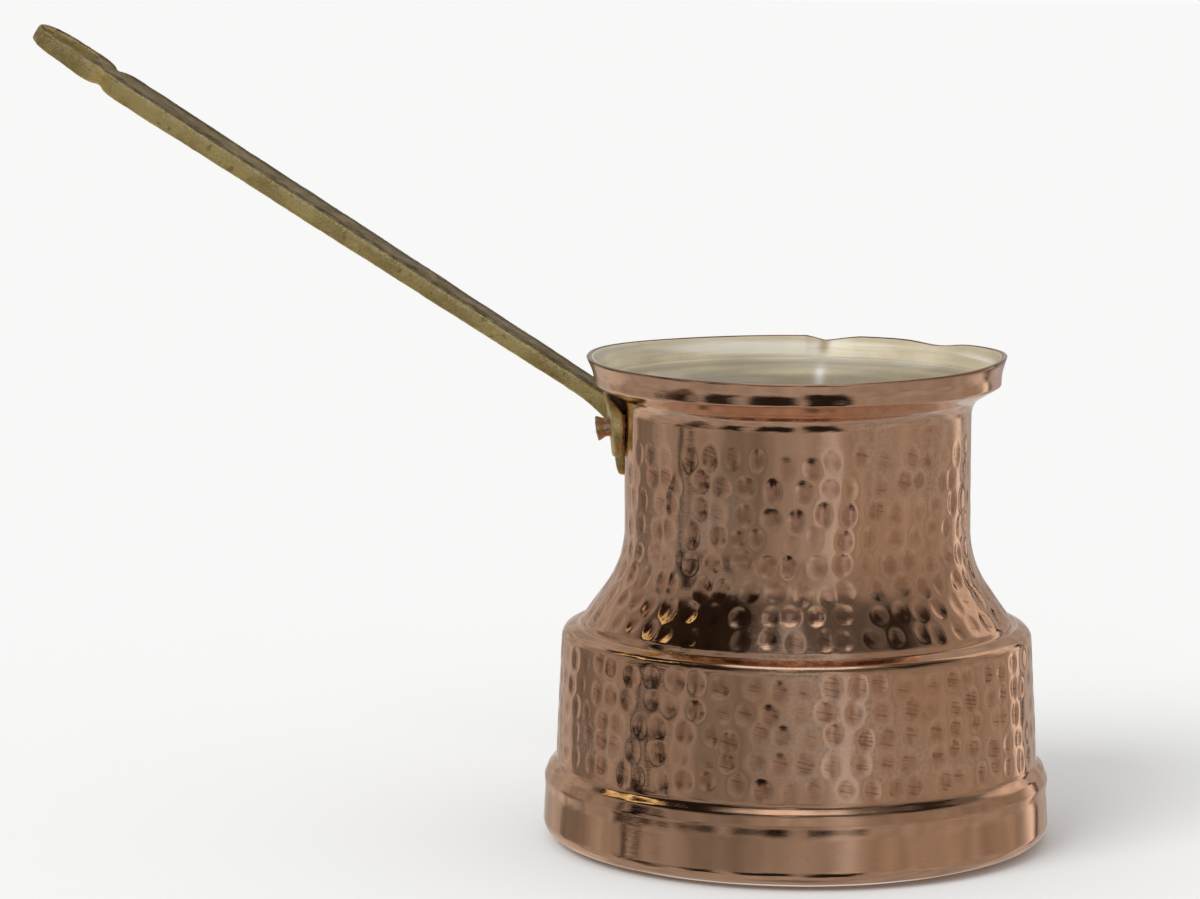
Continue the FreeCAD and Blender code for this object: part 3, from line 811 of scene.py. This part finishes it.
def copper_material(name, dull=0.0, pale=0.0):
    """Polished copper, darker in the hammer marks, with scores, rubbed places and turning lines."""
    material, shader, surface, place = new_material(name)
    turned = round_the_pot(shader, place)
    mark = shader.attribute("mark")
    patches = shader.noise(place, 55.0, 4.0, 0.55)
    tone = shader.mix(shader.ramp(patches, 0.3, 0.7), *COPPER_TONES)
    tone = shader.mix(shader.ramp(mark, 0.2, 1.05, 0.0, 0.8), tone, MARK_FLOOR)
    spots = shader.ramp(shader.noise(place, 260.0, 2.0, 0.6), 0.66, 0.74)
    tone = shader.mix(shader.product(spots, 0.18), tone, COPPER_SPOT)

    scores = shader.ramp(shader.streaks(turned, (140, 2100, 1), 1.0, 0.5, turn=12), 0.56, 0.62)
    scored = shader.ramp(shader.noise(place, 24.0, 2.0, 0.5), 0.42, 0.52)
    scores = shader.product(scores, shader.ramp(mark, 0.3, 0.6), scored)
    tone = shader.mix(shader.product(scores, 0.6), tone, COPPER_SCORE)

    frost = shader.ramp(shader.noise(place, 30.0, 2.0, 0.5), 0.5, 0.62)
    rubbed = shader.ramp(shader.noise(place, 1300.0, 4.0, 0.7), 0.42, 0.62)
    above = shader.ramp(shader.height_of(place), *RUBBED_ABOVE)
    frost = shader.product(frost, above, rubbed, shader.ramp(mark, 0.0, 0.7, 1.0, 0.25))
    tone = shader.mix(shader.product(frost, 0.5), tone, COPPER_RUBBED)
    # painted reflection: the hollow under the rim is painted paler; pale tints a whole piece the same way
    tone = shader.mix(shader.math("MAXIMUM", shader.attribute("cove_reflection"), pale), tone, COPPER_PALE)
    tone = shader.mix(shader.product(shader.attribute("edge"), 0.85), tone, COPPER_EDGE)
    shader.feed(surface.inputs["Base Color"], tone)
    surface.inputs["Metallic"].default_value = 1.0

    smears = shader.streaks(turned, (60, 190, 1), 4.0, 0.6)
    roughness = shader.ramp(smears, 0.3, 0.8, 0.045 + dull, 0.13 + dull)
    roughness = shader.math("ADD", roughness, shader.product(frost, 0.12))
    roughness = shader.math("ADD", roughness, shader.product(mark, 0.03))
    shader.feed(surface.inputs["Roughness"], roughness)
    lines = shader.streaks(turned, (220, 9000, 1), 2.0, 0.6)
    scratches = shader.streaks(place, (500, 500, 3200), 3.0, 0.7)
    shader.bump(surface, shader.math("ADD", lines, shader.product(scratches, 0.7)), 0.08, 0.0001)
    return material


def tin_material():
    """Wiped tin: blotchy and streaked, shinier and with painted shade below the rim band, painted shade
    along the bend and in the lip's crease, and a painted highlight run under the crease.
    """
    material, shader, surface, place = new_material("wiped_tin")
    turned = round_the_pot(shader, place)
    level = shader.height_of(place)
    wiped = shader.streaks(turned, (40, 620, 1), 4.0, 0.6)
    clouds = shader.noise(place, 70.0, 4.0, 0.6)
    stains = shader.noise(place, 26.0, 3.0, 0.6)
    smears = shader.streaks(turned, (18, 300, 1), 3.0, 0.5)
    bend_distance = shader.math("ABSOLUTE", shader.math("SUBTRACT", level, BEND_SHADE_LEVEL))
    tone = shader.mix(shader.ramp(clouds, 0.3, 0.7), *TIN_TONES)
    tone = shader.mix(shader.ramp(stains, 0.42, 0.6, 0.0, 0.4), tone, TIN_STAIN)
    tone = shader.mix(shader.ramp(wiped, 0.38, 0.68, 0.0, 0.6), tone, TIN_WIPED)
    # pale wiped smears, partly painted highlight streaks
    tone = shader.mix(shader.ramp(smears, 0.5, 0.62, 0.0, 0.6), tone, TIN_SMEAR_AND_HIGHLIGHT)
    # painted shade: darker from the slope below the rim band down
    tone = shader.mix(shader.ramp(level, *SLOPE_LEVELS, 0.55, 0.0), tone, TIN_SLOPE_SHADE)
    tone = shader.mix(shader.ramp(level, *TOP_LEVELS, 0.0, 0.45), tone, TIN_TOP)
    # painted shade: a dark line along the bend where the slope meets the rim band
    tone = shader.mix(shader.ramp(bend_distance, *BEND_SHADE_FADE, 0.55, 0.0), tone, TIN_BEND_SHADE)
    # painted shade in the lip's crease
    tone = shader.mix(shader.product(shader.attribute("crease"), 0.9), tone, TIN_CREASE_SHADE)
    # painted highlight run under the crease
    tone = shader.mix(shader.product(shader.attribute("run_highlight"), 0.75), tone, TIN_RUN_HIGHLIGHT)
    shader.feed(surface.inputs["Base Color"], tone)
    shader.feed(surface.inputs["Metallic"], shader.ramp(level, 0.0905, 0.0916, 0.5, 0.12))
    shader.feed(surface.inputs["Roughness"], shader.ramp(wiped, 0.2, 0.8, 0.27, 0.42))
    grain = shader.noise(place, 900.0, 3.0, 0.6)
    shader.bump(surface, shader.math("ADD", shader.product(wiped, 0.6), grain), 0.25, 0.0002)
    return material


def brass_material():
    """Sand-cast brass, pitted and grainy, under a brown film where it is tarnished."""
    material, shader, surface, place = new_material("cast_brass")
    tarnish, wear_and_glints = shader.attribute("tarnish"), shader.attribute("wear_and_glints")
    clouds = shader.noise(place, 85.0, 5.0, 0.62)
    grain = shader.noise(place, 1700.0, 3.0, 0.65)
    pits = shader.ramp(shader.noise(place, 620.0, 2.0, 0.5), 0.60, 0.72)
    tone = shader.mix(shader.ramp(clouds, 0.38, 0.62), *BRASS_TONES)
    tone = shader.mix(shader.ramp(grain, 0.35, 0.7, 0.16, 0.0), tone, BRASS_GRAIN)
    tone = shader.mix(shader.product(pits, 0.5), tone, BRASS_PIT)
    film = shader.mix(shader.ramp(shader.noise(place, 300.0, 4.0, 0.65), 0.35, 0.65), *FILM_TONES)
    film = shader.mix(shader.attribute("soot"), film, BRASS_SOOT)
    tone = shader.mix(tarnish, tone, film)
    # painted highlights and glints, partly wear, on the corners and below the top face
    tone = shader.mix(shader.product(wear_and_glints, 0.9), tone, BRASS_WEAR_AND_GLINT)
    shader.feed(surface.inputs["Base Color"], tone)
    surface.inputs["Metallic"].default_value = 0.93
    roughness = shader.ramp(clouds, 0.3, 0.7, 0.16, 0.34)
    roughness = shader.math("ADD", roughness, shader.product(tarnish, 0.16))
    roughness = shader.math("SUBTRACT", roughness, shader.product(wear_and_glints, 0.1))
    shader.feed(surface.inputs["Roughness"], roughness)
    shader.bump(surface, shader.math("ADD", shader.product(clouds, 1.5), grain), 0.5, 0.0004)
    return material


# ---------------------------------------------------------------- the studio

FLOOR_COLOUR = (0.93, 0.93, 0.925, 1)
FLOOR_HALF = 6.0
BACKDROP = (0.955, 0.955, 0.95, 1)
FILL_LIGHT = (0.70, 0.70, 0.70, 1)
KEY_DIRECTION = (0.55, -0.5, 0.67)
KEY_STRENGTH = 1.45
KEY_SPREAD = 35

# the room polished metal sees: dark straight below, then its floor and lower walls, its dim upper walls
# and its bright ceiling, each as (elevations between which it takes over, colour), in degrees
ROOM_NADIR = (0.12, 0.11, 0.10, 1)
ROOM_LAYERS = [
    (-92, -76, (0.28, 0.27, 0.26, 1)),
    (24, 46, (0.13, 0.125, 0.12, 1)),
    (66, 76, (1.1, 1.1, 1.08, 1)),
]

# Things in the room, as (bearing from the camera round to its right, half width, elevation, half height,
# softness, colour), in degrees. Later entries lie over earlier ones.
SURROUNDINGS = [
    # walls, pale behind the pot and dim to either side, and a bright panel behind it on the right
    (180, 50, 6, 40, 10, (0.58, 0.56, 0.53)),
    (-148, 22, 8, 50, 8, (0.45, 0.42, 0.385)),
    (152, 18, 8, 50, 8, (0.40, 0.375, 0.35)),
    (75, 50, 5, 26, 12, (0.32, 0.285, 0.255)),
    (136, 5, 18, 38, 5, (0.76, 0.71, 0.66)),
    (133, 11, 31, 17, 5, (0.74, 0.69, 0.64)),
    (-95, 34, 4, 22, 8, (0.31, 0.29, 0.27)),
    # dark things standing low in front, and one higher up on the left
    (-77, 8, -30, 13, 2.0, (0.085, 0.075, 0.070)),
    (-79, 5, 14, 11, 1.0, (0.012, 0.011, 0.010)),
    (-47, 9, -30, 12, 1.0, (0.016, 0.014, 0.012)),
    (-16, 14, -31, 13, 1.0, (0.016, 0.014, 0.012)),
    (19, 14, -36, 16, 1.0, (0.016, 0.014, 0.012)),
    # shadows on the left, a cool window in front with a pale strip above it, and a dark upright
    (-122, 11, -6, 9, 2.0, (0.19, 0.175, 0.16)),
    (-44, 2.5, 2, 9, 1.0, (0.04, 0.036, 0.032)),
    (-34, 16, -10, 9, 2.0, (0.20, 0.19, 0.18)),
    (22, 6, 12, 34, 4.0, (0.46, 0.47, 0.49)),
    (5, 26, 33, 6, 9.0, (0.50, 0.49, 0.46)),
    (140, 2.5, -2, 18, 0.8, (0.03, 0.03, 0.03)),
    # dark beams overhead, small warm lamps against the left one, and a pale gap between the beams
    (-88, 52, 50, 15, 3, (0.020, 0.014, 0.010)),
    (-82, 9, 62, 13, 2, (0.010, 0.008, 0.007)),
    (84, 20, 51, 8, 3, (0.03, 0.025, 0.022)),
    (-96, 5, 58, 1.5, 0.6, (1.5, 1.4, 0.85)),
    (-99, 2, 47, 6, 0.8, (1.5, 1.35, 0.75)),
    (-108, 6, 44, 1.5, 0.6, (1.5, 1.4, 0.85)),
    (-116, 2, 40, 5, 0.8, (1.1, 0.95, 0.5)),
    (-6, 7, 58, 7, 3.0, (0.42, 0.42, 0.44)),
]

# where dark blots break up the room, as (bearing, half width, elevation, half height)
BLOTS = (-76, 16, -4, 32)
BLOT_COLOUR = (0.010, 0.009, 0.008, 1)


def within(shader, value, middle, inner, outer):
    """1 where the value is nearer the middle than inner, falling to 0 at outer."""
    away = shader.math("ABSOLUTE", shader.math("SUBTRACT", value, middle))
    return shader.ramp(away, inner, outer, 1, 0)


def bearing_and_elevation(shader, direction):
    """Bearing from the camera and elevation of a direction, in degrees, with ragged outlines."""
    forward, sideways = (shader.add("VectorMath", (direction, axis), output=1, operation="DOT_PRODUCT")
                         for axis in camera_directions())
    degrees = 180 / math.pi
    bearing = shader.product(shader.math("ARCTAN2", sideways, forward), degrees)
    elevation = shader.product(shader.math("ARCSINE", shader.height_of(direction)), degrees)
    ragged = shader.math("SUBTRACT", shader.noise(direction, 6.0, 4.0, 0.6), 0.5)
    torn = shader.math("SUBTRACT", shader.noise(direction, 17.0, 3.0, 0.6), 0.5)
    bearing = shader.math("ADD", bearing, shader.product(ragged, 12))
    bearing = shader.math("ADD", bearing, shader.product(torn, 13))
    elevation = shader.math("ADD", elevation, shader.product(ragged, 22))
    elevation = shader.math("ADD", elevation, shader.product(torn, 8))
    return bearing, elevation


def make_world():
    """A plain pale backdrop and fill, and the room as polished metal reflects it."""
    world = bpy.data.worlds.new("studio")
    world.use_nodes = True
    bpy.context.scene.world = world
    shader = Shader(world.node_tree)
    direction = shader.add("TexCoord", output=0)
    bearing, elevation = bearing_and_elevation(shader, direction)

    room = ROOM_NADIR
    for low, high, colour in ROOM_LAYERS:
        room = shader.mix(shader.ramp(elevation, low, high), room, colour)
    for centre, half_width, middle, half_height, soft, colour in SURROUNDINGS:
        offset = shader.math("WRAP", shader.math("SUBTRACT", bearing, centre), 180, -180)
        across = within(shader, offset, 0, half_width - soft, half_width + soft)
        upward = within(shader, elevation, middle, half_height - soft, half_height + soft)
        room = shader.mix(shader.product(across, upward), room, colour + (1,))
    centre, half_width, middle, half_height = BLOTS
    across = within(shader, bearing, centre, 0.7 * half_width, half_width)
    upward = within(shader, elevation, middle, 0.8 * half_height, half_height)
    blots = shader.ramp(shader.noise(direction, 8.0, 3.0, 0.6), 0.50, 0.525)
    room = shader.mix(shader.product(blots, across, upward), room, BLOT_COLOUR)
    clutter = shader.ramp(shader.noise(direction, 9.0, 4.0, 0.6), 0.3, 0.7, 0.74, 1.22)
    clutter = shader.product(clutter, shader.ramp(elevation, -36, 20, 1.18, 0.84))
    room = shader.add("VectorMath", {0: room, "Scale": clutter}, operation="SCALE")

    seen, glossy = (shader.add("LightPath", output=k) for k in (0, 3))
    plain = shader.mix(seen, FILL_LIGHT, BACKDROP)
    background = world.node_tree.nodes["Background"]
    shader.feed(background.inputs["Color"], shader.mix(glossy, plain, room))
    background.inputs["Strength"].default_value = 1.0


def make_floor():
    """The plain pale floor the pot stands on."""
    mesh = bpy.data.meshes.new("floor")
    low, high = -FLOOR_HALF, FLOOR_HALF
    mesh.from_pydata([(low, low, 0), (high, low, 0), (high, high, 0), (low, high, 0)], [], [(0, 1, 2, 3)])
    floor = finish_mesh("floor", mesh, smooth=False)
    floor.visible_glossy = False
    material = bpy.data.materials.new("pale_floor")
    material.use_nodes = True
    surface = material.node_tree.nodes["Principled BSDF"]
    surface.inputs["Base Color"].default_value = FLOOR_COLOUR
    surface.inputs["Roughness"].default_value = 0.9
    surface.inputs["Specular IOR Level"].default_value = 0.0
    mesh.materials.append(material)


def make_light():
    """One large soft key from above the camera's left, which only matt surfaces see."""
    data = bpy.data.lights.new("soft_key", "SUN")
    data.energy = KEY_STRENGTH
    data.angle = math.radians(KEY_SPREAD)
    light = bpy.data.objects.new("soft_key", data)
    forward, right = (Vector(direction) for direction in camera_directions())
    ahead, aside, above = KEY_DIRECTION
    towards = ahead * forward + aside * right + Vector((0, 0, above))
    light.rotation_euler = towards.to_track_quat("Z", "Y").to_euler()
    light.visible_glossy = False
    bpy.context.scene.collection.objects.link(light)


# ---------------------------------------------------------------- the object

def place_piece(piece, node, material):
    """Puts a piece in place of the CAD node, on the pot's one body."""
    piece.data.materials.clear()
    piece.data.materials.append(material)
    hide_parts(node)
    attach(piece, "root")


bpy.context.scene.view_settings.view_transform = "Standard"
make_camera()
make_world()
make_floor()
make_light()
place_piece(build_vessel(), "pot_body", copper_material("hammered_copper"))
place_piece(build_lining(), "tin_lining", tin_material())
place_piece(build_handle(), "handle", brass_material())
rivet_copper = copper_material("rivet_copper", dull=0.15, pale=0.45)
for rivet, side in (("rivet_left", 1), ("rivet_right", -1)):
    place_piece(build_rivet(rivet + "_visual", side), rivet, rivet_copper)

bpy.context.view_layer.update()
